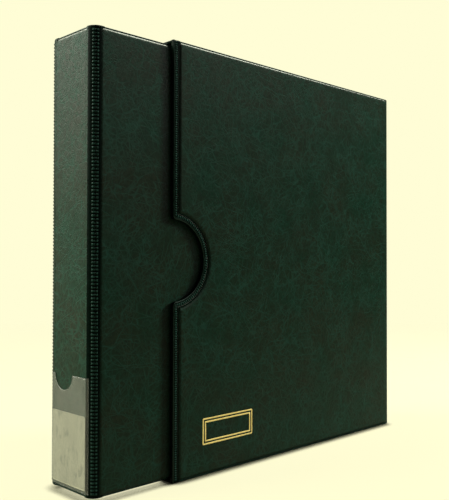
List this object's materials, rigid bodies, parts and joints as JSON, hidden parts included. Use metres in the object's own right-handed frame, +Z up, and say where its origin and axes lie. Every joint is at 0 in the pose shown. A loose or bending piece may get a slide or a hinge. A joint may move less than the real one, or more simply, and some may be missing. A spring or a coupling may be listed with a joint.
{
  "type": "stamp album in slipcase",
  "caption": "Padded ring-bound stamp album pulled part way out of its matching slipcase, with a spine label pocket, thumb notches, ring mechanism and clear-strip stock leaves.",
  "frame": {"origin": "on the floor, under the middle of the bounding box of album and slipcase together, with the album standing out of the mouth as stored", "axes": "+Z up; X runs along the slide, with the album's spine and the slipcase's mouth toward -X and the closed end toward +X; the front cover faces -Y"},
  "size_m": [0.296, 0.055, 0.2744],
  "materials": {
    "vinyl_padded": "satin grained leatherette vinyl, dark green",
    "vinyl_welded": "ribbed, heat-welded leatherette vinyl, dark green",
    "greyboard": "matt greyboard",
    "foam": "soft foam sheet",
    "lining": "smooth black vinyl",
    "foil": "gold hot-stamped foil",
    "clear_film": "clear flexible film",
    "card": "cream card",
    "steel": "bright nickel-plated steel",
    "leaf_card": "black leaf card",
    "strip_film": "crystal-clear strips"
  },
  "bodies": {
    "slipcase": {"case_front_board": "greyboard", "case_back_board": "greyboard", "case_top_board": "greyboard", "case_bottom_board": "greyboard", "case_end_board": "greyboard", "case_front_padding": "foam", "case_back_padding": "foam", "case_front_skin": "vinyl_padded", "case_back_skin": "vinyl_padded", "case_top_skin": "vinyl_padded", "case_bottom_skin": "vinyl_padded", "case_end_skin": "vinyl_padded", "case_lining": "lining", "case_mouth_weld": "vinyl_welded", "case_edge_weld": "vinyl_welded", "foil_frame": "foil"},
    "album": {"front_board": "greyboard", "back_board": "greyboard", "spine_board": "greyboard", "front_padding": "foam", "back_padding": "foam", "spine_padding": "foam", "cover_skin": "vinyl_padded", "cover_lining": "lining", "cover_border": "vinyl_welded", "hinge_weld_front": "vinyl_welded", "hinge_weld_back": "vinyl_welded", "label_pocket": "clear_film", "ring_rail": "steel", "ring_rivets": "steel", "lever_pins": "steel"},
    "label": {"label_card": "card"},
    "lever_top": {"lever_top": "steel"},
    "lever_bottom": {"lever_bottom": "steel"},
    "jaw_front": {"blade_front": "steel", "half_rings_front": "steel"},
    "jaw_back": {"blade_back": "steel", "half_rings_back": "steel"},
    "leaves_front": {"leaf_front_1": "leaf_card", "leaf_front_2": "leaf_card", "leaf_front_3": "leaf_card", "strips_front_1": "strip_film", "strips_front_2": "strip_film", "strips_front_3": "strip_film"},
    "leaves_back": {"leaf_back_1": "leaf_card", "leaf_back_2": "leaf_card", "leaf_back_3": "leaf_card", "strips_back_1": "strip_film", "strips_back_2": "strip_film", "strips_back_3": "strip_film"}
  },
  "joints": [
    {"name": "album_slide", "type": "slide", "parent": "slipcase", "child": "album", "axis": [-1, 0, 0], "range_m": [-0.0569, 0.17]},
    {"name": "label_slide", "type": "slide", "parent": "album", "child": "label", "axis": [0, 0, 1], "range_m": [0, 0.06]},
    {"name": "lever_top_swing", "type": "hinge", "parent": "album", "child": "lever_top", "pos_m": [-0.1414, 0, 0.2571], "axis": [0, -1, 0], "range_deg": [0, 16]},
    {"name": "lever_bottom_swing", "type": "hinge", "parent": "album", "child": "lever_bottom", "pos_m": [-0.1414, 0, 0.0171], "axis": [0, 1, 0], "range_deg": [0, 16]},
    {"name": "jaw_front_swing", "type": "hinge", "parent": "album", "child": "jaw_front", "pos_m": [-0.1411, -0.0086, 0.1371], "axis": [0, 0, -1], "range_deg": [0, 10]},
    {"name": "jaw_back_swing", "type": "hinge", "parent": "album", "child": "jaw_back", "pos_m": [-0.1411, 0.0086, 0.1371], "axis": [0, 0, 1], "range_deg": [0, 10]},
    {"name": "leaves_front_swing", "type": "hinge", "parent": "album", "child": "leaves_front", "pos_m": [-0.1137, -0.0022, 0.1371], "axis": [0, 0, -1], "range_deg": [0, 4]},
    {"name": "leaves_back_swing", "type": "hinge", "parent": "album", "child": "leaves_back", "pos_m": [-0.1137, 0.0022, 0.1371], "axis": [0, 0, 1], "range_deg": [0, 4]}
  ],
  "couplings": [
    {"joint": "lever_bottom_swing", "follows": "lever_top_swing", "ratio": 1},
    {"joint": "jaw_front_swing", "follows": "lever_top_swing", "ratio": 0.625},
    {"joint": "jaw_back_swing", "follows": "lever_top_swing", "ratio": 0.625}
  ]
}
